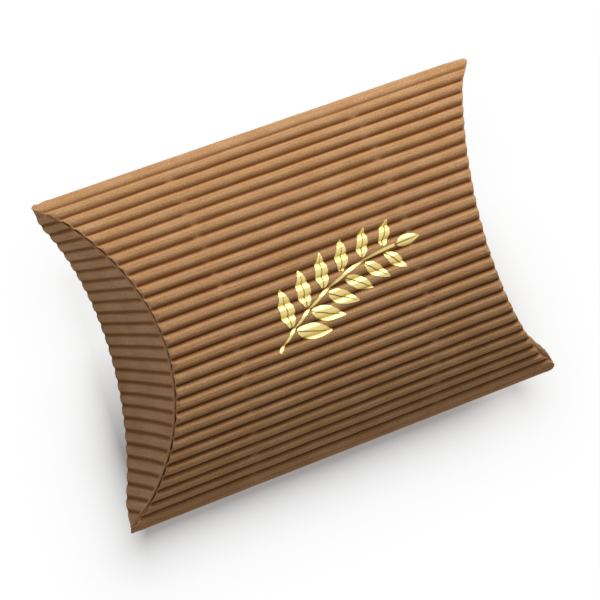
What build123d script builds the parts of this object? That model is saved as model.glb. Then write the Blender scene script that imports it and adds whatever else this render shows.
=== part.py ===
from build123d import *
from math import asin, cos, degrees, pi, sin, sqrt
import os

os.makedirs("parts", exist_ok=True)

# The folded box, in millimetres: X along the flutes, Y across, Z up
box_length = 125.0
box_width = 86.0
box_height = 37.0

# The single-face board: a flat liner inside, a fluted medium outside
liner_thickness = 0.25
medium_thickness = 0.2
flute_height = 1.3
flute_count = 28
visible_facets = 8
hidden_facets = 6
glue_line = 0.02
crushed_height = 0.45

# The two long folds, where the flutes are pressed flat
fold_radius = 0.8

# The curved creases between the panels and the end flaps
crease_width = 1.1
crease_gap = 0.3

# The end flaps: the front panel's lie outside, the back panel's lie inside
flap_spacing = 2.6
flap_side_gap = 1.4
flap_edge_gap = 0.5
flap_flute_height = 0.9
inner_flap_share = 0.667
edge_steps = 10

# The glue tab behind the back panel, its flutes pressed into the glue
tab_width = 14.0
tab_flute_height = 0.7
tab_flute_count = 4
glue_thickness = 0.1
tab_end_gap = 2.0

# How far the lowest crests, which carry the box, are pressed flat
rest_flat = 0.27

# Sizes of the curved section that follow from the ones above
half_length = box_length / 2
rise = box_height / 2 - flute_height
near_reach = box_width / 2
near_fold_y = near_reach - crushed_height - fold_radius
panel_radius = (near_fold_y**2 + rise**2 - fold_radius**2) / (2 * (rise - fold_radius))
centre_drop = panel_radius - rise
near_angle = asin(near_fold_y / (panel_radius - fold_radius))

# The tab's liner lies inside the back panel, so the far fold is a little higher
tab_depth = liner_thickness + glue_thickness + tab_flute_height
tab_radius = panel_radius - tab_depth
upper_reach = panel_radius - fold_radius
lower_reach = tab_radius - fold_radius
far_fold_z = (upper_reach**2 - lower_reach**2) / (4 * centre_drop)
far_fold_y = sqrt(upper_reach**2 - (far_fold_z + centre_drop) ** 2)
far_angle = asin(far_fold_y / upper_reach)
far_reach = far_fold_y + fold_radius + crushed_height
tab_angle = asin(far_fold_y / lower_reach)

flute_pitch = panel_radius * (near_angle + far_angle) / flute_count
flap_half_width = far_fold_y - flap_side_gap

# A panel ends behind the liner of the flap that stands on its crease
panel_trim = 2 * liner_thickness + crease_gap

# The model is made about the middle of the section, then set on the ground
seat = Pos(0, (near_reach - far_reach) / 2, box_height / 2 - rest_flat)


def section_height(across):
    """Height of the liner's outer face above the middle of the box."""
    return sqrt(panel_radius**2 - across**2) - centre_drop


def board_point(angle, height):
    """A point over the panel arc: angle from the top, height above the liner."""
    radius = panel_radius + height
    return (radius * sin(angle), radius * cos(angle) - centre_drop)


def board_band(inner, outer, start, stop):
    """Flat layer of the curved section between two heights and two angles."""
    middle = (start + stop) / 2
    lower = ThreePointArc(*[board_point(angle, inner) for angle in (start, middle, stop)])
    upper = ThreePointArc(*[board_point(angle, outer) for angle in (stop, middle, start)])
    sides = Line(lower @ 1, upper @ 0) + Line(upper @ 1, lower @ 0)
    return make_face(lower + upper + sides)


def fold_band(centre, inner, outer, start, stop):
    """Layer of a long fold, from angle start to stop about the fold's centre."""
    sweep = degrees(stop - start)
    lower = CenterArc(centre, inner, degrees(start), sweep)
    upper = CenterArc(centre, outer, degrees(start), sweep)
    sides = Line(lower @ 0, upper @ 0) + Line(lower @ 1, upper @ 1)
    return make_face(lower + upper + sides)


def fluted_face(facets, height, count, start, base=0.0, side=1, ceiling=box_height):
    """Section of the fluted medium: a wave of straight facets, pressed flat at a ceiling."""
    crest_line = height - medium_thickness / 2
    valley_line = glue_line + medium_thickness / 2
    middle = (crest_line + valley_line) / 2
    swing = (crest_line - valley_line) / (2 * cos(pi / facets))
    turns = [(index + 0.5) / facets for index in range(count * facets)]

    def ply_edge(shift):
        limit = ceiling + shift - medium_thickness / 2
        points = []
        for turn in turns:
            phase = 2 * pi * turn
            slope = 2 * pi * swing * sin(phase) / flute_pitch
            lean = shift / sqrt(1 + slope**2)
            along = turn * flute_pitch - slope * lean
            level = middle - swing * cos(phase) + lean
            across, up = board_point(start + along / panel_radius, base + side * level)
            points.append((across, min(up, limit)))
        return points

    top = ply_edge(medium_thickness / 2)
    bottom = ply_edge(-medium_thickness / 2)
    return make_face(Polyline(*top, *reversed(bottom), close=True))


def along_box(face, reach):
    """Section drawn in the YZ plane, run both ways along the box."""
    return extrude(Plane.YZ * face, amount=reach, both=True)


def crease_plane(trim, end=1):
    """The sloping plane that a curved crease lies in, moved in from it by a trim."""
    return Plane(origin=(end * (half_length - trim), 0, 0), z_dir=(end, 0, 1))


def within(solid, plane):
    """The part of a solid on the box's side of a plane."""
    return split(solid, bisect_by=plane, keep=Keep.BOTTOM)


def beyond(solid, plane):
    """The part of a solid on the far side of a plane."""
    return split(solid, bisect_by=plane, keep=Keep.TOP)


def both_ends(solid):
    """The same shape at the right and the left end."""
    return [solid, mirror(solid, Plane.YZ)]


def cut_panel_ends(solid, trim):
    """End a ply in the sloping planes of the right and the left crease."""
    for end in (1, -1):
        solid = within(solid, crease_plane(trim, end))
    return solid


def panel_liner(setback):
    """Flat inner ply of a panel, from fold to fold and crease to crease."""
    face = board_band(-liner_thickness, 0, -near_angle, far_angle)
    return cut_panel_ends(along_box(face, half_length), setback + panel_trim)


def panel_flutes(setback, facets, ceiling=box_height):
    """Fluted outer ply: its flutes slope down to the pressed strips at both ends."""
    face = fluted_face(facets, flute_height, flute_count, -near_angle, ceiling=ceiling)
    return cut_panel_ends(along_box(face, half_length), setback + panel_trim + crease_width)


def panel_crease(setback):
    """Pressed strip of medium on the panel beside the right-hand crease."""
    face = board_band(0, crushed_height, -near_angle, far_angle)
    strip = within(along_box(face, half_length), crease_plane(setback + panel_trim))
    return beyond(strip, crease_plane(setback + panel_trim + crease_width))


def fold_plies(centre, stop_angle, tangent_angle):
    """Liner and pressed medium round a long fold at the far side."""
    start = tangent_angle - pi / 2
    stop = pi / 2 - stop_angle
    liner = fold_band(centre, fold_radius - liner_thickness, fold_radius, start, stop)
    medium = fold_band(centre, fold_radius, fold_radius + crushed_height, start, stop)
    return along_box(liner, half_length), along_box(medium, half_length)


def under_back(solid):
    """Turn a piece made over the front panel into one under the back panel."""
    return mirror(solid, Plane.XY)


def tab_plies():
    """Glue tab: liner, pressed flutes and the film of glue behind the back panel."""
    stop = tab_angle
    start = stop - tab_width / panel_radius
    flute_start = stop - tab_flute_count * flute_pitch / panel_radius
    flute_base = -liner_thickness - glue_thickness
    inner_y = (panel_radius - tab_depth) * sin(start)
    reach = half_length - flap_spacing - section_height(inner_y) - tab_end_gap
    liner = board_band(-tab_depth - liner_thickness, -tab_depth, start, stop)
    flutes = fluted_face(hidden_facets, tab_flute_height, tab_flute_count, flute_start, -tab_depth)
    glue = board_band(flute_base, -liner_thickness, flute_start, far_angle)
    return [under_back(along_box(face, reach)) for face in (liner, flutes, glue)]


def flap_outline(share):
    """Limit of a flap's free edge, as the flap lies before it is folded down."""
    start = half_length - flap_edge_gap
    edge = []
    for step in range(edge_steps + 1):
        across = flap_half_width * (2 * step / edge_steps - 1)
        edge.append((start + section_height(across) * (2 * share - 1), across))
    far_corner = (start, near_reach)
    near_corner = (start, -near_reach)
    outline = Polyline(near_corner, *edge, far_corner, (0, near_reach), (0, -near_reach), close=True)
    return extrude(make_face(outline), amount=box_height, both=True)


def folded(solid):
    """Fold a flap down over the end: its outer face then points out of the box."""
    return mirror(solid, crease_plane(0))


def flap_plies(share, facets):
    """Liner, fluted medium and pressed crease strip of one right-hand flap."""
    angle = asin(flap_half_width / panel_radius)
    reach = half_length + rise
    outline = flap_outline(share)
    count = int(2 * panel_radius * angle / flute_pitch)
    start = -count * flute_pitch / panel_radius / 2
    liner_face = board_band(0, liner_thickness, -angle, angle)
    strip_face = board_band(-crushed_height, 0, -angle, angle)
    flutes_face = fluted_face(facets, flap_flute_height, count, start, side=-1)
    strip = beyond(along_box(strip_face, reach) & outline, crease_plane(0))
    plies = {
        "liner": beyond(along_box(liner_face, reach) & outline, crease_plane(0)),
        "crease": within(strip, crease_plane(-crease_width)),
        "flutes": beyond(along_box(flutes_face, reach) & outline, crease_plane(-crease_width)),
    }
    return {part: folded(solid) for part, solid in plies.items()}


def write(name, solid):
    """Set a piece on the ground and write it under its own name."""
    placed = seat * solid
    solids = placed.solids()
    placed = solids[0] if len(solids) == 1 else Compound(children=solids)
    placed.label = name
    export_step(placed, f"parts/{name}.step")


def main():
    write("front_panel_liner", panel_liner(0))
    write("front_panel_flutes", panel_flutes(0, visible_facets))
    write("back_panel_liner", under_back(panel_liner(flap_spacing)))

    resting_height = box_height / 2 - rest_flat
    write("back_panel_flutes", under_back(panel_flutes(flap_spacing, hidden_facets, resting_height)))

    near = fold_plies((near_fold_y, 0), near_angle, near_angle)
    far = fold_plies((far_fold_y, far_fold_z), far_angle, tab_angle)
    for part, solid in zip(("liner", "flutes"), near):
        write(f"near_fold_{part}", mirror(solid, Plane.XZ))
    for part, solid in zip(("liner", "flutes"), far):
        write(f"far_fold_{part}", solid)

    for part, solid in zip(("glue_tab_liner", "glue_tab_flutes", "tab_glue"), tab_plies()):
        write(part, solid)

    front_creases = both_ends(panel_crease(0))
    back_creases = both_ends(under_back(panel_crease(flap_spacing)))
    for end, front, back in zip(("right", "left"), front_creases, back_creases):
        write(f"{end}_front_crease", front)
        write(f"{end}_back_crease", back)

    for part, solid in flap_plies(1, visible_facets).items():
        for end, piece in zip(("right", "left"), both_ends(solid)):
            write(f"{end}_outer_flap_{part}", piece)
    for part, solid in flap_plies(inner_flap_share, hidden_facets).items():
        inner = Pos(-flap_spacing, 0, 0) * under_back(solid)
        for end, piece in zip(("right", "left"), both_ends(inner)):
            write(f"{end}_inner_flap_{part}", piece)


main()
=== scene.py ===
# Pillow box of single-face kraft board, closed, lying on its back panel
import math
import bpy
from mathutils import Matrix, Vector
from mathutils.bvhtree import BVHTree


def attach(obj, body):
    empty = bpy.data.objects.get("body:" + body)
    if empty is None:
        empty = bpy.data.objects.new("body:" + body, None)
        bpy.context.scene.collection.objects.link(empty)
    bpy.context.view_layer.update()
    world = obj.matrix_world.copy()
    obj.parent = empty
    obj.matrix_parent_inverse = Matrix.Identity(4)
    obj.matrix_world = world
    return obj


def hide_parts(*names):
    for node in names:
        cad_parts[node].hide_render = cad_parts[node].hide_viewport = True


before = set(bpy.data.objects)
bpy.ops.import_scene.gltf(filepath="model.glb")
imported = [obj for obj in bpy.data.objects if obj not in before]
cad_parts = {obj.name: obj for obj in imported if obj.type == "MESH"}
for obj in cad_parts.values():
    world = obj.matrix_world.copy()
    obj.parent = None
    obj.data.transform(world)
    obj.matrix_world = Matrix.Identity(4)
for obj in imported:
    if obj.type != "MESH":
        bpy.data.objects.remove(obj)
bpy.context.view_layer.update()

scene = bpy.context.scene
scene.view_settings.view_transform = "Standard"
mm = 0.001

# The folded box, the same sizes as in the frame, in mm
box = {
    "length": 125.0,
    "width": 86.0,
    "height": 37.0,
    "fluteHeight": 1.3,
    "pressedHeight": 0.45,
    "foldRadius": 0.8,
    "fluteCount": 28,
    "flapSpacing": 2.6,
    "restFlat": 0.27,
    "tabDepth": 1.05,
    "linerThickness": 0.25,
    "mediumThickness": 0.2,
}
rise = box["height"] / 2 - box["fluteHeight"]
nearFoldY = box["width"] / 2 - box["pressedHeight"] - box["foldRadius"]
arcRadius = (nearFoldY**2 + rise**2 - box["foldRadius"] ** 2) / (2 * (rise - box["foldRadius"]))
arcDrop = arcRadius - rise
upReach = arcRadius - box["foldRadius"]
downReach = arcRadius - box["tabDepth"] - box["foldRadius"]
farFoldZ = (upReach**2 - downReach**2) / (4 * arcDrop)
farFoldY = math.sqrt(upReach**2 - (farFoldZ + arcDrop) ** 2)
nearAngle = math.asin(nearFoldY / upReach)
farAngle = math.asin(farFoldY / upReach)
flutePitch = arcRadius * (nearAngle + farAngle) / box["fluteCount"]
seat = Vector((0, (nearFoldY - farFoldY) / 2, box["height"] / 2 - box["restFlat"]))


def hexColor(code):  # sRGB hex to the linear values that a colour socket takes
    values = [int(code[i:i + 2], 16) / 255 for i in (1, 3, 5)]
    return [v / 12.92 if v <= 0.04045 else ((v + 0.055) / 1.055) ** 2.4 for v in values] + [1.0]


def addNode(tree, kind, links=(), **settings):  # a node with its settings, values and links
    node = tree.nodes.new(kind)
    for key, value in settings.items():
        setattr(node, key, value)
    pairs = links.items() if isinstance(links, dict) else enumerate(links)
    for key, value in pairs:
        if isinstance(value, bpy.types.Node):
            value = value.outputs[0]
        if isinstance(value, bpy.types.NodeSocket):
            tree.links.new(value, node.inputs[key])
        elif value is not None:
            node.inputs[key].default_value = value
    return node


calc, vec = "ShaderNodeMath", "ShaderNodeVectorMath"
noise, mapTo = "ShaderNodeTexNoise", "ShaderNodeMapRange"
smooth = {"interpolation_type": "SMOOTHSTEP"}
mixed = {"data_type": "RGBA"}


cameraPlace = {
    "location": (-328.482, 126.044, 774.965),  # mm from the middle of the box
    "right": (0.8659, -0.2824, 0.413),
    "up": (0.3195, 0.9473, -0.0221),
    "focalPixels": 3354.0,
    "imagePixels": 600,
    "sensorMm": 36.0,
    "farthest": 20.0,
}
right = Vector(cameraPlace["right"]).normalized()
up = Vector(cameraPlace["up"])
back = right.cross(up).normalized()
up = back.cross(right)
cameraData = bpy.data.cameras.new("camera")
cameraData.sensor_width = cameraPlace["sensorMm"]
cameraData.lens = cameraPlace["focalPixels"] / cameraPlace["imagePixels"] * cameraPlace["sensorMm"]
cameraData.clip_end = cameraPlace["farthest"]
camera = bpy.data.objects.new("camera", cameraData)
spot = (Vector(cameraPlace["location"]) + seat) * mm
camera.matrix_world = Matrix.Translation(spot) @ Matrix((right, up, back)).transposed().to_4x4()
scene.collection.objects.link(camera)
scene.camera = camera
print("camera placed")


kraft = {  # first each paper: its colour, its pale streaks, and how strong the painted shade in its valleys is
    "outside": ("#BE8956", "#E6B788", 0.95),
    # the flaps are the same board, painted paler and greyer for the whiter light on the ends, with less
    # painted valley shade
    "flap": ("#B5875C", "#DFB68C", 0.8),
    "inside": ("#B98F63", "#C79E72", 0.0),
    "paintedValleyShade": "#763F09",  # painted shade low in the flutes, where their narrow valleys lie in shade
    "fleck": "#6E4B2B",
    "fibreMm": 1.6,
    "fibreWidthMm": 0.25,
    "fibreRoughness": 0.65,
    "streakMm": 14.0,
    "streakWidthMm": 0.5,
    "cloudMm": 8.0,
    "grainMm": 0.4,
    "shares": {"cloud": 0.3, "fibre": 0.35, "streak": 0.35, "grain": 0.8},
    "toneRange": (0.68, 1.12),  # between these the paper goes from its own colour to the pale one
    "valleyRange": (0.04, 0.6),
    "fleckRange": (0.66, 0.74),
    "fleckShare": 0.3,
    "roughness": 0.82,
    "specular": 0.06,
    "fibreRelief": 0.5,
    "reliefStrength": 0.8,
    "reliefMm": 0.13,
}


def kraftPaper(name, kind):
    # Unbleached kraft paper, machine made: dull and brown, with a fine grain, long pale streaks
    # and a few flecks, and painted shade low in its flute valleys
    ridge, pale, valleyShade = kraft[kind]
    shares = kraft["shares"]
    material = bpy.data.materials.new(name)
    material.use_nodes = True
    tree = material.node_tree
    shader = tree.nodes["Principled BSDF"]
    sheet = addNode(tree, "ShaderNodeAttribute", attribute_name="sheet")
    flute = addNode(tree, "ShaderNodeAttribute", attribute_name="flute")
    place = sheet.outputs["Vector"]
    fibreScale = (1 / (kraft["fibreMm"] * mm), 1 / (kraft["fibreWidthMm"] * mm), 1.0)
    streakScale = (1 / (kraft["streakMm"] * mm), 1 / (kraft["streakWidthMm"] * mm), 1.0)
    fibrePlace = addNode(tree, vec, [place, fibreScale], operation="MULTIPLY")
    streakPlace = addNode(tree, vec, [place, streakScale], operation="MULTIPLY")
    fibre = addNode(tree, noise, {
        "Vector": fibrePlace, "Scale": 1.0, "Detail": 3.0, "Roughness": kraft["fibreRoughness"],
    })
    streak = addNode(tree, noise, {"Vector": streakPlace, "Scale": 1.0, "Detail": 2.0})
    cloud = addNode(tree, noise, {"Vector": place, "Scale": 1 / (kraft["cloudMm"] * mm), "Detail": 2.0})
    grain = addNode(tree, noise, {"Vector": place, "Scale": 1 / (kraft["grainMm"] * mm), "Detail": 3.0})
    tone = addNode(tree, calc, [cloud, shares["cloud"]], operation="MULTIPLY")
    tone = addNode(tree, calc, [fibre, shares["fibre"], tone], operation="MULTIPLY_ADD")
    tone = addNode(tree, calc, [streak, shares["streak"], tone], operation="MULTIPLY_ADD")
    tone = addNode(tree, calc, [grain, shares["grain"], tone], operation="MULTIPLY_ADD")
    toneMix = addNode(tree, mapTo, [tone, *kraft["toneRange"], 0.0, 1.0])
    base = addNode(tree, "ShaderNodeMix", {0: toneMix, 6: hexColor(ridge), 7: hexColor(pale)}, **mixed)
    # painted shade: where the flute tone is low, the paper is mixed towards the shade colour
    valley = addNode(tree, mapTo, [flute.outputs["Fac"], *kraft["valleyRange"], valleyShade, 0.0])
    shaded = addNode(tree, "ShaderNodeMix", {
        0: valley, 6: base.outputs[2], 7: hexColor(kraft["paintedValleyShade"]),
    }, **mixed)
    flecks = addNode(tree, mapTo, [grain, *kraft["fleckRange"], 0.0, kraft["fleckShare"]])
    final = addNode(tree, "ShaderNodeMix", {
        0: flecks, 6: shaded.outputs[2], 7: hexColor(kraft["fleck"]),
    }, **mixed)
    tree.links.new(final.outputs[2], shader.inputs["Base Color"])
    shader.inputs["Roughness"].default_value = kraft["roughness"]
    shader.inputs["Specular IOR Level"].default_value = kraft["specular"]
    relief = addNode(tree, calc, [fibre, kraft["fibreRelief"], grain], operation="MULTIPLY_ADD")
    bump = addNode(tree, "ShaderNodeBump", {
        "Height": relief, "Strength": kraft["reliefStrength"], "Distance": kraft["reliefMm"] * mm,
    })
    tree.links.new(bump.outputs[0], shader.inputs["Normal"])
    return material


kraftOutside = kraftPaper("kraft paper, fluted medium", "outside")
kraftFlapPaintedLight = kraftPaper("kraft paper, fluted medium of the flaps", "flap")
kraftInside = kraftPaper("kraft paper, liner", "inside")

# White paper glue, rolled on and dried: a pale film, smoother than the board around it
glueFilm = {"color": "#D9CFB8", "roughness": 0.4}
driedGlue = bpy.data.materials.new("white glue, dried")
driedGlue.use_nodes = True
glueShader = driedGlue.node_tree.nodes["Principled BSDF"]
glueShader.inputs["Base Color"].default_value = hexColor(glueFilm["color"])
glueShader.inputs["Roughness"].default_value = glueFilm["roughness"]
print("materials made")


boardSizes = {  # the inputs of every ply of board, with a panel's values in metres and radians
    "Rows Along": 60,
    "Rows Across": 400,
    "Start Arc": 0.0,
    "Stop Arc": 0.0,
    "Half Length": box["length"] / 2 * mm,
    "Arc Radius": arcRadius * mm,
    "Arc Drop": arcDrop * mm,
    "Fold Radius": box["foldRadius"] * mm,
    "Near Angle": nearAngle,
    "Far Angle": farAngle,
    "Flute Pitch": flutePitch * mm,
    "First Valley": -45.36 * mm,
    "Valley Height": 0.22 * mm,
    "Crest Height": box["fluteHeight"] * mm,
    "Pressed Height": 0.55 * mm,
    "Ridge Power": 0.62,  # under 1 the ridges are broad and the valleys narrow
    "Crest Groove": -0.17 * mm,
    "Unevenness": 0.05 * mm,
    "Crumple": 0.2 * mm,
    "Fold Fade": 3.2 * mm,
    "Crush Start": 0.0,  # from a crease inwards the flutes rise, from a pressed share to their full height
    "Crush End": 0.8 * mm,
    "Crush Share": 0.6,
    "Score Share": 1.0,
    "Score End": 0.7 * mm,
    "Overhang": 0.35 * mm,
    "Ragged": 0.35 * mm,
    "Tip Height": 1.5 * mm,  # the four corners are blunt and pinched flat
    "Tip Reach": 1.3 * mm,
    "Tip Round": 0.9 * mm,
    "Tip Length": 1.6 * mm,
    "Tip Share": 0.35,
    "Nip Lines": (1.0, 1.0, 0.0),
    "Tuck": 0.0,
    "Seam Drop": 0.0,
    "Edge Gap": 0.5 * mm,
    "Reach Share": 1.0,
    "Fan": 0.0,
    "Flare": 0.0,
    "Bow": (0.0, 0.0, 1.0),
    "Bow Rise": 1.0 * mm,
    "Bow Edge": 1.0,
    "Lowest": 0.0,
    "Sides": (1.0, 1.0, 1.0),
    "Seat": tuple(seat * mm),
    "Flap": False,
    "Flip": False,
}
flatPly = {  # a liner has no flutes
    "Crest Height": 0.0, "Valley Height": 0.0, "Pressed Height": 0.0,
    "Unevenness": 0.0, "Crest Groove": 0.0, "Crumple": 0.0,
}
rolled = {  # how single-face board looks off the rollers and after it is folded
    "wanderMm": 0.22,  # how far a flute strays from its line, and how many times a metre
    "wanderPerM": 55.0,
    "rowHeights": (0.9, 1.05),  # the heights of the flutes, as shares
    "rowSpread": (0.2, 0.8),
    "rowPerM": 12.0,
    "rowSeed": 3.7,
    "roughPerM": 260.0,
    "tornPerM": 650.0,  # the rough cut at the creases
    "tornSeed": 9.1,
    "nipMm": 0.9,  # half the width of a roller's line, and how far it wavers
    "nipWaverMm": 0.9,
    "nipPerM": 420.0,
    "crumplePerM": 750.0,
    "crumpleSpread": (0.25, 0.75),
    "crumpleMm": (0.4, 2.6),  # from a crease, where the crumpling starts to fade and where it ends
    "crestSharpness": 8.0,  # the more, the finer the groove along each crest
    "foldStartMm": 0.2,  # round a long fold the flutes keep only this share of their height
    "foldLeast": 0.1,
    "pressedTone": 0.8,  # the pressed board's flute tone, between a valley's 0 and a ridge's 1, high enough to take little painted valley shade
    "tipFadeMm": 6.0,  # how high above the folds the tips' own shape reaches
    "tipTurn": 0.85,  # radians round the fold where a tip starts to round off
    "pinchMm": 0.8,  # how far to both sides of a long fold the corners are pinched
    "tuckTurns": (1.6, 2.3),  # radians round the fold over which the seam's edge goes in
    "dropTurns": (1.2, 2.1),
    "leastFlapMm": 0.3,
    "springPower": 1.5,
    "bowFall": (0.3, 0.8),
    "crowding": 1.6,  # the mesh's rows crowd towards the creases
    "flapCrowding": 1.5,
}
socketKinds = {
    int: "NodeSocketInt", float: "NodeSocketFloat", tuple: "NodeSocketVector", bool: "NodeSocketBool",
}


def flutedBoardTree():  # one ply: a grid that is waved, pressed, folded round the box and set in its place
    tree = bpy.data.node_groups.new("fluted board", "GeometryNodeTree")
    for name, value in boardSizes.items():
        tree.interface.new_socket(name=name, in_out="INPUT", socket_type=socketKinds[type(value)])
    tree.interface.new_socket(name="Paper", in_out="INPUT", socket_type="NodeSocketMaterial")
    tree.interface.new_socket(name="Board", in_out="OUTPUT", socket_type="NodeSocketGeometry")
    given = addNode(tree, "NodeGroupInput").outputs

    grid = addNode(tree, "GeometryNodeMeshGrid", {
        "Size X": 1.0, "Size Y": 1.0, "Vertices X": given["Rows Along"], "Vertices Y": given["Rows Across"],
    })
    place = addNode(tree, "ShaderNodeSeparateXYZ", [addNode(tree, "GeometryNodeInputPosition")])
    u = addNode(tree, calc, [place.outputs[0], 0.5], operation="ADD")
    v = addNode(tree, calc, [place.outputs[1], 0.5], operation="ADD")

    # across the sheet: on the panel's arc, then round a long fold
    arc = addNode(tree, mapTo, [v, 0.0, 1.0, given["Start Arc"], given["Stop Arc"]])
    angle = addNode(tree, calc, [arc, given["Arc Radius"]], operation="DIVIDE")
    nearLimit = addNode(tree, calc, [given["Near Angle"], -1.0], operation="MULTIPLY")
    held = addNode(tree, "ShaderNodeClamp", [angle, nearLimit, given["Far Angle"]])
    over = addNode(tree, calc, [angle, held], operation="SUBTRACT")
    spin = addNode(tree, calc, [given["Arc Radius"], given["Fold Radius"]], operation="DIVIDE")
    turned = addNode(tree, calc, [over, spin, held], operation="MULTIPLY_ADD")
    core = addNode(tree, calc, [given["Arc Radius"], given["Fold Radius"]], operation="SUBTRACT")
    sinHeld = addNode(tree, calc, [held], operation="SINE")
    cosHeld = addNode(tree, calc, [held], operation="COSINE")
    sinTurned = addNode(tree, calc, [turned], operation="SINE")
    cosTurned = addNode(tree, calc, [turned], operation="COSINE")
    coreLevel = addNode(tree, calc, [core, cosHeld], operation="MULTIPLY")
    level = addNode(tree, calc, [given["Fold Radius"], cosTurned, coreLevel], operation="MULTIPLY_ADD")
    level = addNode(tree, calc, [level, given["Arc Drop"]], operation="SUBTRACT")
    height = addNode(tree, calc, [level], operation="ABSOLUTE")

    # along the sheet: from crease to crease, or from the crease to the flap's free edge, with blunt tips
    tipFade = rolled["tipFadeMm"] * mm
    tipHeight = addNode(tree, calc, [height, given["Tip Height"]], operation="MAXIMUM")
    tip = addNode(tree, mapTo, [tipHeight, given["Tip Height"], tipFade, given["Tip Reach"], 0.0], **smooth)
    crease = addNode(tree, calc, [given["Half Length"], tipHeight], operation="SUBTRACT")
    crease = addNode(tree, calc, [crease, tip], operation="ADD")
    crease = addNode(tree, calc, [crease, given["Overhang"]], operation="ADD")
    outward = addNode(tree, calc, [turned], operation="ABSOLUTE")
    rounded = addNode(tree, mapTo, [
        outward, rolled["tipTurn"], math.pi / 2, 0.0, given["Tip Round"],
    ], **smooth)
    crease = addNode(tree, calc, [crease, rounded], operation="SUBTRACT")
    torn = addNode(tree, "ShaderNodeCombineXYZ", [rolled["tornSeed"], arc, 0.0])
    torn = addNode(tree, noise, {"Vector": torn, "Scale": rolled["tornPerM"]})
    torn = addNode(tree, calc, [torn, 0.5], operation="SUBTRACT")
    panelEnd = addNode(tree, calc, [torn, given["Ragged"], crease], operation="MULTIPLY_ADD")
    panelStart = addNode(tree, calc, [panelEnd, -1.0], operation="MULTIPLY")
    flapEnd = addNode(tree, calc, [given["Half Length"], given["Edge Gap"]], operation="SUBTRACT")
    flapEnd = addNode(tree, calc, [height, given["Reach Share"], flapEnd], operation="MULTIPLY_ADD")
    flapLeast = addNode(tree, calc, [crease, rolled["leastFlapMm"] * mm], operation="ADD")
    flapEnd = addNode(tree, calc, [flapEnd, flapLeast], operation="MAXIMUM")
    swing = addNode(tree, calc, [u, 2.0, -1.0], operation="MULTIPLY_ADD")
    way = addNode(tree, calc, [swing], operation="SIGN")
    short = addNode(tree, calc, [swing], operation="ABSOLUTE")
    short = addNode(tree, calc, [1.0, short], operation="SUBTRACT")
    dense = addNode(tree, calc, [short, rolled["crowding"]], operation="POWER")
    dense = addNode(tree, calc, [1.0, dense], operation="SUBTRACT")
    signed = addNode(tree, calc, [dense, way], operation="MULTIPLY")
    panelShare = addNode(tree, calc, [signed, 0.5, 0.5], operation="MULTIPLY_ADD")
    flapShare = addNode(tree, calc, [u, rolled["flapCrowding"]], operation="POWER")
    panelX = addNode(tree, mapTo, [panelShare, 0.0, 1.0, panelStart, panelEnd])
    flapX = addNode(tree, mapTo, [flapShare, 0.0, 1.0, crease, flapEnd])
    x = addNode(tree, "GeometryNodeSwitch", [given["Flap"], panelX, flapX], input_type="FLOAT")
    fromRight = addNode(tree, calc, [panelEnd, x], operation="SUBTRACT")
    fromLeft = addNode(tree, calc, [x, panelStart], operation="SUBTRACT")
    panelDepth = addNode(tree, calc, [fromRight, fromLeft], operation="MINIMUM")
    flapDepth = addNode(tree, calc, [x, crease], operation="SUBTRACT")
    depth = addNode(tree, "GeometryNodeSwitch", [given["Flap"], panelDepth, flapDepth], input_type="FLOAT")

    # the wave, a little uneven as rolled board is, its lines fanning on a flap
    spot = addNode(tree, "ShaderNodeCombineXYZ", [x, arc, 0.0])
    astray = rolled["wanderMm"] * mm
    wander = addNode(tree, noise, {"Vector": spot, "Scale": rolled["wanderPerM"], "Detail": 2.0})
    wander = addNode(tree, mapTo, [wander, 0.0, 1.0, -astray, astray])
    fanned = addNode(tree, calc, [flapDepth, given["Fan"], 1.0], operation="MULTIPLY_ADD")
    fanned = addNode(tree, "GeometryNodeSwitch", [given["Flap"], 1.0, fanned], input_type="FLOAT")
    line = addNode(tree, calc, [arc, fanned, wander], operation="MULTIPLY_ADD")
    line = addNode(tree, calc, [line, given["First Valley"]], operation="SUBTRACT")
    turns = addNode(tree, calc, [line, given["Flute Pitch"]], operation="DIVIDE")
    phase = addNode(tree, calc, [turns, 2 * math.pi], operation="MULTIPLY")
    wave = addNode(tree, calc, [phase], operation="COSINE")
    wave = addNode(tree, calc, [wave, -0.5, 0.5], operation="MULTIPLY_ADD")
    wave = addNode(tree, calc, [wave, 0.0], operation="MAXIMUM")
    wave = addNode(tree, calc, [wave, given["Ridge Power"]], operation="POWER")

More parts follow.
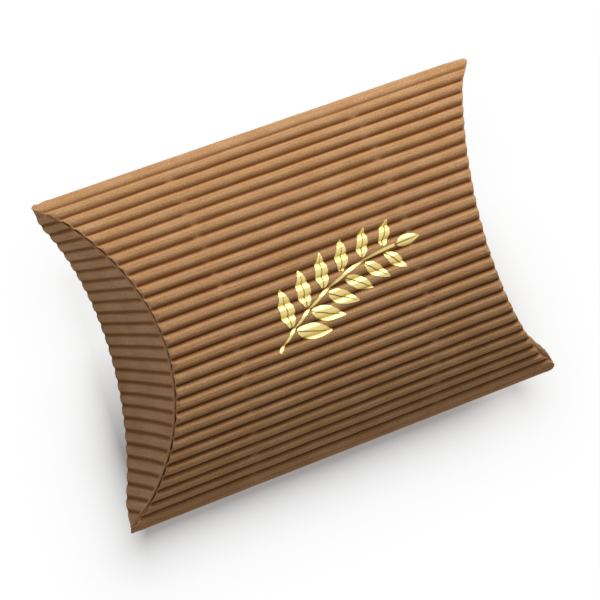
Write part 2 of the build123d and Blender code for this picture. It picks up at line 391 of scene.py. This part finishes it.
    # how far the flutes stand: pressed at the creases and folds, nipped along two lines
    crush = addNode(tree, mapTo, [
        depth, given["Crush Start"], given["Crush End"], given["Crush Share"], 1.0,
    ], **smooth)
    farRoom = addNode(tree, calc, [given["Far Angle"], angle], operation="SUBTRACT")
    nearRoom = addNode(tree, calc, [given["Near Angle"], angle], operation="ADD")
    room = addNode(tree, calc, [farRoom, nearRoom], operation="MINIMUM")
    room = addNode(tree, calc, [room, given["Arc Radius"]], operation="MULTIPLY")
    foldFade = addNode(tree, mapTo, [
        room, -rolled["foldStartMm"] * mm, given["Fold Fade"], rolled["foldLeast"], 1.0,
    ], **smooth)
    standing = addNode(tree, calc, [crush, foldFade], operation="MULTIPLY")
    nips = addNode(tree, "ShaderNodeSeparateXYZ", [given["Nip Lines"]])
    waver = rolled["nipWaverMm"] * mm
    ripple = addNode(tree, noise, {"Vector": spot, "Scale": rolled["nipPerM"], "Detail": 1.0})
    ripple = addNode(tree, mapTo, [ripple, 0.0, 1.0, -waver, waver])
    ripple = addNode(tree, calc, [x, ripple], operation="ADD")
    for index in (0, 1):
        away = addNode(tree, calc, [ripple, nips.outputs[index]], operation="SUBTRACT")
        away = addNode(tree, calc, [away], operation="ABSOLUTE")
        nip = addNode(tree, mapTo, [away, 0.0, rolled["nipMm"] * mm, nips.outputs[2], 0.0], **smooth)
        nip = addNode(tree, calc, [1.0, nip], operation="SUBTRACT")
        standing = addNode(tree, calc, [standing, nip], operation="MULTIPLY")
    row = addNode(tree, calc, [turns], operation="FLOOR")
    rowAlong = addNode(tree, calc, [x, rolled["rowPerM"]], operation="MULTIPLY")
    rowSpot = addNode(tree, "ShaderNodeCombineXYZ", [rowAlong, row, rolled["rowSeed"]])
    rowNoise = addNode(tree, noise, {"Vector": rowSpot, "Scale": 1.0, "Detail": 1.0})
    varied = addNode(tree, mapTo, [rowNoise, *rolled["rowSpread"], *rolled["rowHeights"]])
    standing = addNode(tree, calc, [standing, varied], operation="MULTIPLY")
    span = addNode(tree, calc, [given["Crest Height"], given["Valley Height"]], operation="SUBTRACT")
    full = addNode(tree, calc, [span, wave, given["Valley Height"]], operation="MULTIPLY_ADD")
    extra = addNode(tree, calc, [full, given["Pressed Height"]], operation="SUBTRACT")
    lift = addNode(tree, calc, [extra, standing, given["Pressed Height"]], operation="MULTIPLY_ADD")
    rough = addNode(tree, noise, {"Vector": spot, "Scale": rolled["roughPerM"], "Detail": 3.0})
    rough = addNode(tree, mapTo, [rough, 0.0, 1.0, -1.0, 1.0])
    lift = addNode(tree, calc, [rough, given["Unevenness"], lift], operation="MULTIPLY_ADD")
    crumpleStart, crumpleStop = (value * mm for value in rolled["crumpleMm"])
    crumpled = addNode(tree, noise, {"Vector": spot, "Scale": rolled["crumplePerM"], "Detail": 2.0})
    crumpled = addNode(tree, mapTo, [crumpled, *rolled["crumpleSpread"], -1.0, 1.0])
    beside = addNode(tree, mapTo, [depth, crumpleStart, crumpleStop, given["Crumple"], 0.0], **smooth)
    lift = addNode(tree, calc, [crumpled, beside, lift], operation="MULTIPLY_ADD")
    ridgeTop = addNode(tree, calc, [wave, rolled["crestSharpness"]], operation="POWER")
    groove = addNode(tree, calc, [ridgeTop, standing], operation="MULTIPLY")
    lift = addNode(tree, calc, [groove, given["Crest Groove"], lift], operation="MULTIPLY_ADD")
    scoreAndShade = addNode(tree, mapTo, [depth, 0.0, given["Score End"], given["Score Share"], 1.0], **smooth)
    lift = addNode(tree, calc, [lift, scoreAndShade], operation="MULTIPLY")
    tucked = addNode(tree, mapTo, [turned, *rolled["tuckTurns"], 0.0, given["Tuck"]], **smooth)
    lift = addNode(tree, calc, [lift, tucked], operation="SUBTRACT")

    # place: a flap is drawn flat beyond the crease, then mirrored over the crease's plane
    out = addNode(tree, calc, [lift, given["Fold Radius"]], operation="ADD")
    under = addNode(tree, calc, [given["Fold Radius"], lift], operation="SUBTRACT")
    reach = addNode(tree, "GeometryNodeSwitch", [given["Flap"], out, under], input_type="FLOAT")
    y = addNode(tree, calc, [core, sinHeld], operation="MULTIPLY")
    y = addNode(tree, calc, [reach, sinTurned, y], operation="MULTIPLY_ADD")
    z = addNode(tree, calc, [reach, cosTurned, coreLevel], operation="MULTIPLY_ADD")
    z = addNode(tree, calc, [z, given["Arc Drop"]], operation="SUBTRACT")
    dropped = addNode(tree, mapTo, [turned, *rolled["dropTurns"], 0.0, given["Seam Drop"]], **smooth)
    z = addNode(tree, calc, [z, dropped], operation="SUBTRACT")
    pinch = rolled["pinchMm"] * mm
    folded = addNode(tree, mapTo, [room, -pinch, pinch, 1.0, 0.0])
    closing = addNode(tree, calc, [1.0, given["Tip Share"]], operation="SUBTRACT")
    closing = addNode(tree, mapTo, [depth, 0.0, given["Tip Length"], closing, 0.0], **smooth)
    closing = addNode(tree, calc, [folded, closing], operation="MULTIPLY")
    closing = addNode(tree, calc, [1.0, closing], operation="SUBTRACT")
    pinched = addNode(tree, calc, [z, closing], operation="MULTIPLY")
    flatPlace = addNode(tree, "ShaderNodeCombineXYZ", [x, y, pinched])
    flapRoom = addNode(tree, calc, [flapEnd, crease], operation="SUBTRACT")
    relative = addNode(tree, calc, [flapDepth, flapRoom], operation="DIVIDE")
    sprung = addNode(tree, calc, [relative, rolled["springPower"]], operation="POWER")
    fromTip = addNode(tree, mapTo, [height, 0.0, tipFade, 0.0, given["Flare"]], **smooth)
    sprung = addNode(tree, calc, [sprung, fromTip], operation="MULTIPLY")
    bow = addNode(tree, "ShaderNodeSeparateXYZ", [given["Bow"]])
    bowAway = addNode(tree, calc, [arc, bow.outputs[1]], operation="SUBTRACT")
    bowAway = addNode(tree, calc, [bowAway], operation="ABSOLUTE")
    bowSwell = addNode(tree, mapTo, [bowAway, 0.0, bow.outputs[2], bow.outputs[0], 0.0], **smooth)
    bowRise = addNode(tree, mapTo, [flapDepth, 0.0, given["Bow Rise"], 0.0, 1.0], **smooth)
    bowFall = addNode(tree, mapTo, [relative, *rolled["bowFall"], 1.0, given["Bow Edge"]], **smooth)
    bowRise = addNode(tree, calc, [bowRise, bowFall], operation="MULTIPLY")
    sprung = addNode(tree, calc, [bowSwell, bowRise, sprung], operation="MULTIPLY_ADD")
    foldedX = addNode(tree, calc, [given["Half Length"], z], operation="SUBTRACT")
    foldedX = addNode(tree, calc, [foldedX, sprung], operation="ADD")
    foldedZ = addNode(tree, calc, [given["Half Length"], x], operation="SUBTRACT")
    foldedPlace = addNode(tree, "ShaderNodeCombineXYZ", [foldedX, y, foldedZ])
    final = addNode(tree, "GeometryNodeSwitch", [
        given["Flap"], flatPlace, foldedPlace,
    ], input_type="VECTOR")
    final = addNode(tree, vec, [final, given["Sides"]], operation="MULTIPLY")
    final = addNode(tree, vec, [final, given["Seat"]], operation="ADD")
    ground = addNode(tree, "ShaderNodeCombineXYZ", [-1.0, -1.0, given["Lowest"]])
    final = addNode(tree, vec, [final, ground], operation="MAXIMUM")

    # what the paper's colour reads: the place on the sheet, and how high on a flute, which sets the painted
    # shade in the valleys and at the flaps' creases
    pressed = addNode(tree, calc, [1.0, standing], operation="SUBTRACT")
    pressed = addNode(tree, calc, [pressed, rolled["pressedTone"]], operation="MULTIPLY")
    fluteTone = addNode(tree, calc, [wave, standing, pressed], operation="MULTIPLY_ADD")
    # at a flap's crease the score also takes the tone to 0, a painted dark line of shade along the crease
    fluteTone = addNode(tree, calc, [fluteTone, scoreAndShade], operation="MULTIPLY")
    kept = addNode(tree, "GeometryNodeStoreNamedAttribute", {
        "Geometry": grid.outputs["Mesh"], "Name": "sheet", "Value": spot,
    }, data_type="FLOAT_VECTOR", domain="POINT")
    kept = addNode(tree, "GeometryNodeStoreNamedAttribute", {
        "Geometry": kept, "Name": "flute", "Value": fluteTone,
    }, data_type="FLOAT", domain="POINT")
    moved = addNode(tree, "GeometryNodeSetPosition", {"Geometry": kept, "Position": final})
    flipped = addNode(tree, "GeometryNodeFlipFaces", {"Mesh": moved, "Selection": given["Flip"]})
    shaded = addNode(tree, "GeometryNodeSetShadeSmooth", {"Geometry": flipped, "Shade Smooth": True})
    real = addNode(tree, "GeometryNodeRealizeInstances", {"Geometry": shaded})
    painted = addNode(tree, "GeometryNodeSetMaterial", {"Geometry": real, "Material": given["Paper"]})
    addNode(tree, "NodeGroupOutput", [painted])
    return tree


boardTree = flutedBoardTree()
socketIds = {
    item.name: item.identifier for item in boardTree.interface.items_tree if item.in_out == "INPUT"
}


def makeBoard(name, paper, thickness, changes):  # one ply, given its thickness and made a mesh of its own
    start = bpy.data.objects.new(name + "_start", bpy.data.meshes.new(name + "_start"))
    scene.collection.objects.link(start)
    rule = start.modifiers.new("board", "NODES")
    rule.node_group = boardTree
    for key, value in {**boardSizes, **changes, "Paper": paper}.items():
        rule[socketIds[key]] = value
    wall = start.modifiers.new("ply", "SOLIDIFY")
    wall.thickness = thickness * mm
    wall.offset = -1
    wall.use_even_offset = False
    mesh = bpy.data.meshes.new_from_object(start.evaluated_get(bpy.context.evaluated_depsgraph_get()))
    mesh.name = name
    board = bpy.data.objects.new(name, mesh)
    scene.collection.objects.link(board)
    bpy.data.objects.remove(start)
    print(name, len(mesh.polygons), "faces")
    return board


panelSheet = {
    "along": 84,
    "across": 560,
    "foldShare": 1.5,  # how far the front sheet goes round the folds, in quarter turns
    "seamShare": 1.75,  # and where it goes in behind the back panel, to become the glue tab
    "seamTuck": 0.7,
    "seamDrop": 1.2,
    "backShare": 1.08,  # the back panel's free edge is glued on over the tab and ends at the fold itself
    "nipLines": (-27.4, 25.8),  # two lines across the flutes where rollers gripped the board
    "nipDepth": 0.4,
    "linerAcross": 180,
    "linerOverhang": -0.3,
}


def edgeArc(angle, turn):  # a sheet's edge along the arc, when it goes on round a long fold up to a turn
    return (arcRadius * angle + (turn - angle) * box["foldRadius"]) * mm


frontStart = -edgeArc(nearAngle, math.pi / 2 * panelSheet["foldShare"])
frontBoard = makeBoard("frontPanelFlutes", kraftOutside, box["mediumThickness"], {
    "Rows Along": panelSheet["along"], "Rows Across": panelSheet["across"],
    "Start Arc": frontStart, "Stop Arc": edgeArc(farAngle, math.pi / 2 * panelSheet["seamShare"]),
    "Tuck": panelSheet["seamTuck"] * mm, "Seam Drop": panelSheet["seamDrop"] * mm,
    "Nip Lines": (*(line * mm for line in panelSheet["nipLines"]), panelSheet["nipDepth"]),
})
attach(frontBoard, "shell")
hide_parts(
    "front_panel_flutes", "near_fold_flutes", "far_fold_flutes",
    "left_front_crease", "right_front_crease",
)

frontLiner = makeBoard("frontPanelLiner", kraftInside, box["linerThickness"], {
    **flatPly, "Rows Across": panelSheet["linerAcross"],
    "Start Arc": frontStart, "Stop Arc": edgeArc(farAngle, math.pi / 2 * panelSheet["foldShare"]),
    "Overhang": panelSheet["linerOverhang"] * mm, "Ragged": 0.0,
})
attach(frontLiner, "shell")
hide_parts("front_panel_liner", "near_fold_liner", "far_fold_liner")

backBoard = makeBoard("backPanelFlutes", kraftOutside, box["mediumThickness"], {
    "Half Length": (box["length"] / 2 - box["flapSpacing"]) * mm,
    "Start Arc": -arcRadius * nearAngle * mm,
    "Stop Arc": edgeArc(farAngle, math.pi / 2 * panelSheet["backShare"]),
    "Sides": (1.0, 1.0, -1.0), "Flip": True,
})
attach(backBoard, "shell")
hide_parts("back_panel_flutes", "left_back_crease", "right_back_crease")
print("panels made")

foil = {"color": "#E2CF88", "roughness": 0.48, "thickness": 0.04, "lift": 0.06}
# Hot-stamped foil: thin bright gold metal, pressed into the flutes, so its shine breaks on every ridge
goldFoil = bpy.data.materials.new("gold foil, hot stamped")
goldFoil.use_nodes = True
foilShader = goldFoil.node_tree.nodes["Principled BSDF"]
foilShader.inputs["Base Color"].default_value = hexColor(foil["color"])
foilShader.inputs["Metallic"].default_value = 1.0
foilShader.inputs["Roughness"].default_value = foil["roughness"]

sprig = {
    "middle": (2.0, -2.5),  # mm along the flutes and across them, from the middle of the front panel
    "stemLength": 42.0,
    "stemWidth": 0.7,
    "stemTurn": (44.0, 2.0),  # degrees at the foot and at the top
    "leafPairs": 6,
    "bareTop": 0.6,  # how much of the stem stays free above the last pair, in spaces between pairs
    "leafLengths": (10.5, 6.5),
    "leafWidthShare": 0.38,
    "leafShape": (0.04, 0.97, 0.8),  # the part of a sine that a leaf's side follows, and its fullness
    "leafSpread": 54.0,
    "leafGap": 0.9,
    "topGap": 0.8,
    "veinGap": 0.3,
    "cell": 0.25,
    "dropHeight": 80.0,
}
surface = BVHTree.FromPolygons(
    [vertex.co for vertex in frontBoard.data.vertices],
    [face.vertices for face in frontBoard.data.polygons],
)
foilPoints, foilFaces = [], []


def stampPatch(width, height, place):  # one piece of foil, laid cell by cell over the ridges and valleys
    columns, rows = [max(2, round(size / sprig["cell"])) for size in (width, height)]
    first = len(foilPoints)
    for row in range(rows + 1):
        for column in range(columns + 1):
            along, across = place(column / columns, row / rows)
            above = (along, arcRadius * math.sin(across / arcRadius) + seat.y, sprig["dropHeight"])
            spot, normal, *_ = surface.ray_cast(Vector(above) * mm, Vector((0, 0, -1)))
            foilPoints.append(spot + normal * foil["lift"] * mm)
    for row in range(rows):
        for column in range(columns):
            corner = first + row * (columns + 1) + column
            foilFaces.append((corner, corner + 1, corner + columns + 2, corner + columns + 1))


def stemPoint(share):  # place and direction on the curved stem, 0 at its foot and 1 at its top
    startTurn, stopTurn = (math.radians(turn) for turn in sprig["stemTurn"])
    bend = stopTurn - startTurn
    turn = startTurn + bend * share
    reach = sprig["stemLength"] / bend
    half = startTurn + bend / 2
    along = reach * (math.sin(turn) - math.sin(startTurn)) - sprig["stemLength"] / 2 * math.cos(half)
    across = reach * (math.cos(startTurn) - math.cos(turn)) - sprig["stemLength"] / 2 * math.sin(half)
    return sprig["middle"][0] + along, sprig["middle"][1] + across, turn


def stampLeaf(foot, turn, length):  # two halves with the vein left bare between them
    shapeStart, shapeStop, fullness = sprig["leafShape"]
    halfWidth = length * sprig["leafWidthShare"] / 2
    for half in (-1, 1):
        def place(u, v):
            swell = math.sin(math.pi * (shapeStart + (shapeStop - shapeStart) * u) ** fullness)
            out = sprig["veinGap"] / 2 * (1 - u**4) + v * halfWidth * swell
            far = u * length
            return (
                foot[0] + far * math.cos(turn) - half * out * math.sin(turn),
                foot[1] + far * math.sin(turn) + half * out * math.cos(turn),
            )
        stampPatch(length, halfWidth, place)


def stampStem(u, v):
    along, across, turn = stemPoint(u)
    out = (v - 0.5) * sprig["stemWidth"]
    return along - out * math.sin(turn), across + out * math.cos(turn)


def leafFoot(stem, turn, gap):
    return stem[0] + gap * math.cos(turn), stem[1] + gap * math.sin(turn)


stampPatch(sprig["stemLength"], sprig["stemWidth"], stampStem)
longest, shortest = sprig["leafLengths"]
for pair in range(sprig["leafPairs"]):
    share = (pair + 1.0) / (sprig["leafPairs"] + sprig["bareTop"])
    stem = stemPoint(share)
    for half in (-1, 1):
        turn = stem[2] + half * math.radians(sprig["leafSpread"])
        foot = leafFoot(stem, turn, sprig["stemWidth"] / 2 + sprig["leafGap"])
        stampLeaf(foot, turn, longest + (shortest - longest) * share)
stem = stemPoint(1.0)
stampLeaf(leafFoot(stem, stem[2], sprig["topGap"]), stem[2], shortest)

foilMesh = bpy.data.meshes.new("foilSprig")
foilMesh.from_pydata(foilPoints, [], foilFaces)
foilMesh.materials.append(goldFoil)
foilStart = bpy.data.objects.new("foilStart", foilMesh)
scene.collection.objects.link(foilStart)
foilWall = foilStart.modifiers.new("foil", "SOLIDIFY")
foilWall.thickness = foil["thickness"] * mm
foilWall.offset = 1
foilMade = bpy.data.meshes.new_from_object(foilStart.evaluated_get(bpy.context.evaluated_depsgraph_get()))
bpy.data.objects.remove(foilStart)
foilSprig = bpy.data.objects.new("foilSprig", foilMade)
scene.collection.objects.link(foilSprig)
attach(foilSprig, "shell")
print("foil stamped", len(foilMade.polygons), "faces")

flapSheet = {
    "along": 40,
    "across": 420,
    "linerAcross": 120,
    "crestHeight": 0.66,
    "pressedHeight": 0.3,
    "ridgePower": 1.0,
    "crumple": 0.1,
    "crushMm": (0.3, 1.4),
    "crushShare": 0.2,
    "fadeMm": {"left": 5.0, "right": 16.0},  # the flutes sink towards the tips, more so at the sprung end
    "fanPerMm": 0.0024,
    "flare": 2.0,  # how far the free edge of an outer flap springs out
    "shares": {"outer": 1.0, "inner": 0.667},  # how much of the end a flap covers
    "tipTurn": 1.1,  # how far the flap's tips go round the long folds, in radians
    "groove": 0.08,
    "linerOverhang": 0.25,
    "bows": {  # a bow's height, place along the crease and half width, then its rise, its share at the edge
        "left": ((-1.2, 37.0, 4.5), 1.0, 0.0),
        "right": ((2.3, -42.0, 14.0), 0.8, 1.0),
    },
    "noBow": ((0.0, 0.0, 1.0), 1.0, 0.0),
}
for end, side in (("left", -1.0), ("right", 1.0)):
    for place, setback, upright in (("outer", 0.0, 1.0), ("inner", box["flapSpacing"], -1.0)):
        sprung = place == "outer"
        bow, bowRise, bowEdge = flapSheet["bows"][end] if sprung else flapSheet["noBow"]
        crushStart, crushStop = flapSheet["crushMm"]
        flapSizes = {
            "Rows Along": flapSheet["along"], "Rows Across": flapSheet["across"],
            "Half Length": (box["length"] / 2 - setback) * mm,
            "Start Arc": -edgeArc(nearAngle, flapSheet["tipTurn"]),
            "Stop Arc": edgeArc(farAngle, flapSheet["tipTurn"]),
            "Reach Share": 2 * flapSheet["shares"][place] - 1, "Fan": flapSheet["fanPerMm"] / mm,
            "Flare": flapSheet["flare"] * mm * sprung,
            "Bow": tuple(value * mm for value in bow), "Bow Rise": bowRise * mm, "Bow Edge": bowEdge,
            "Crest Height": flapSheet["crestHeight"] * mm,
            "Pressed Height": flapSheet["pressedHeight"] * mm,
            "Ridge Power": flapSheet["ridgePower"], "Crumple": flapSheet["crumple"] * mm,
            "Fold Fade": flapSheet["fadeMm"][end] * mm, "Overhang": flapSheet["groove"] * mm, "Ragged": 0.0,
            "Crush Start": crushStart * mm, "Crush End": crushStop * mm,
            # with no score share the flap is pressed flat at its crease, and the crease gets a painted line
            # of shade
            "Crush Share": flapSheet["crushShare"], "Score Share": 0.0,
            "Sides": (side, 1.0, upright), "Flap": True, "Flip": side * upright > 0,
        }
        linerSizes = {
            **flapSizes, **flatPly, "Rows Across": flapSheet["linerAcross"],
            "Overhang": flapSheet["linerOverhang"] * mm, "Score Share": 1.0,
        }
        name = f"{end}{place.capitalize()}Flap"
        board = makeBoard(name + "Flutes", kraftFlapPaintedLight, box["mediumThickness"], flapSizes)
        liner = makeBoard(name + "Liner", kraftInside, box["linerThickness"], linerSizes)
        for piece, nodes, slot in (
            (board, ("flutes", "crease"), "kraft_flutes"), (liner, ("liner",), "kraft_liner"),
        ):
            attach(piece, f"{end}_{place}_flap")
            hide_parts(*[f"{end}_{place}_flap_{part}" for part in nodes])
print("flaps made")

for name in ("back_panel_liner", "glue_tab_liner"):
    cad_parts[name].material_slots[0].material = kraftInside
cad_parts["glue_tab_flutes"].material_slots[0].material = kraftOutside
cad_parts["tab_glue"].material_slots[0].material = driedGlue


studio = {
    "floor": "#F4EFEC",
    "floorRoughness": 0.9,
    "floorHalf": 4.0,  # m
    "worldStrength": 0.2,
    "lamps": {  # place, size in m and strength of each softbox
        "key": ((0.6, 0.96, 0.57), 0.6, 12.0),
        "fill": ((-0.8, 0.0, 0.2), 0.5, 0.52),
    },
    "lampAim": (0.0, 0.0, 0.02),
    "shadowShare": 0.78,  # how much of the floor's own shading the camera sees beside the box
    "shadowFadeMm": 6.0,
    "shadowFootMm": (56.0, 34.0, 0.0),
    "shadowPlaceMm": (4.0, -14.0, 0.0),
    "shadowSideMm": (-26.0, 2.0),  # between these places across the box the shadow thins to its far share
    "shadowFarShare": 0.2,
}


def backgroundRays(tree):  # 1 for rays that see the white background, 0 for rays that light the box
    path = addNode(tree, "ShaderNodeLightPath")
    eye, shine, through = (path.outputs[f"Is {kind} Ray"] for kind in ("Camera", "Glossy", "Transmission"))
    seen = addNode(tree, calc, [eye, shine], operation="MAXIMUM")
    return addNode(tree, calc, [seen, through], operation="MAXIMUM")


floorMesh = bpy.data.meshes.new("floor")
half = studio["floorHalf"]
corners = [(-half, -half, 0), (half, -half, 0), (half, half, 0), (-half, half, 0)]
floorMesh.from_pydata(corners, [], [(0, 1, 2, 3)])
floor = bpy.data.objects.new("floor", floorMesh)
scene.collection.objects.link(floor)
# White card, dull all over; the camera sees it as pure white but for the box's soft shadow
floorPaint = bpy.data.materials.new("matt studio floor")
floorPaint.use_nodes = True
tree = floorPaint.node_tree
card = tree.nodes["Principled BSDF"]
card.inputs["Base Color"].default_value = hexColor(studio["floor"])
card.inputs["Roughness"].default_value = studio["floorRoughness"]
card.inputs["Specular IOR Level"].default_value = 0.0
foot = addNode(tree, "ShaderNodeTexCoord").outputs["Object"]
shadowPlace, shadowFoot, shadowSide = (
    tuple(value * mm for value in studio[key]) for key in ("shadowPlaceMm", "shadowFootMm", "shadowSideMm")
)
nearShare = studio["shadowShare"]
farShare = nearShare * studio["shadowFarShare"]
acrossFloor = addNode(tree, "ShaderNodeSeparateXYZ", [foot]).outputs[1]
thinning = addNode(tree, mapTo, [acrossFloor, *shadowSide, nearShare, farShare])
foot = addNode(tree, vec, [foot, shadowPlace], operation="SUBTRACT")
foot = addNode(tree, vec, [foot], operation="ABSOLUTE")
foot = addNode(tree, vec, [foot, shadowFoot], operation="SUBTRACT")
foot = addNode(tree, vec, [foot, (0.0, 0.0, 0.0)], operation="MAXIMUM")
away = addNode(tree, vec, [foot], operation="LENGTH").outputs["Value"]
away = addNode(tree, calc, [away, -1 / (studio["shadowFadeMm"] * mm)], operation="MULTIPLY")
shade = addNode(tree, calc, [away], operation="EXPONENT")
shade = addNode(tree, calc, [shade, thinning], operation="MULTIPLY")
white = addNode(tree, calc, [1.0, shade], operation="SUBTRACT")
white = addNode(tree, calc, [white, backgroundRays(tree)], operation="MULTIPLY")
glow = addNode(tree, "ShaderNodeEmission", [(1, 1, 1, 1), 1.0])
floorLook = addNode(tree, "ShaderNodeMixShader", [white, card, glow])
tree.links.new(floorLook.outputs[0], tree.nodes["Material Output"].inputs["Surface"])
floorMesh.materials.append(floorPaint)

for name, (spot, size, energy) in studio["lamps"].items():
    lampData = bpy.data.lights.new(name, "AREA")
    lampData.energy = energy
    lampData.size = size
    lamp = bpy.data.objects.new(name, lampData)
    lamp.location = spot
    aim = Vector(studio["lampAim"]) - lamp.location
    lamp.rotation_euler = aim.to_track_quat("-Z", "Y").to_euler()
    scene.collection.objects.link(lamp)

world = bpy.data.worlds.new("studio")
scene.world = world
world.use_nodes = True
tree = world.node_tree
strength = addNode(tree, mapTo, [backgroundRays(tree), 0.0, 1.0, studio["worldStrength"], 1.0])
tree.nodes["Background"].inputs["Color"].default_value = (1, 1, 1, 1)
tree.links.new(strength.outputs[0], tree.nodes["Background"].inputs["Strength"])
print("studio set")
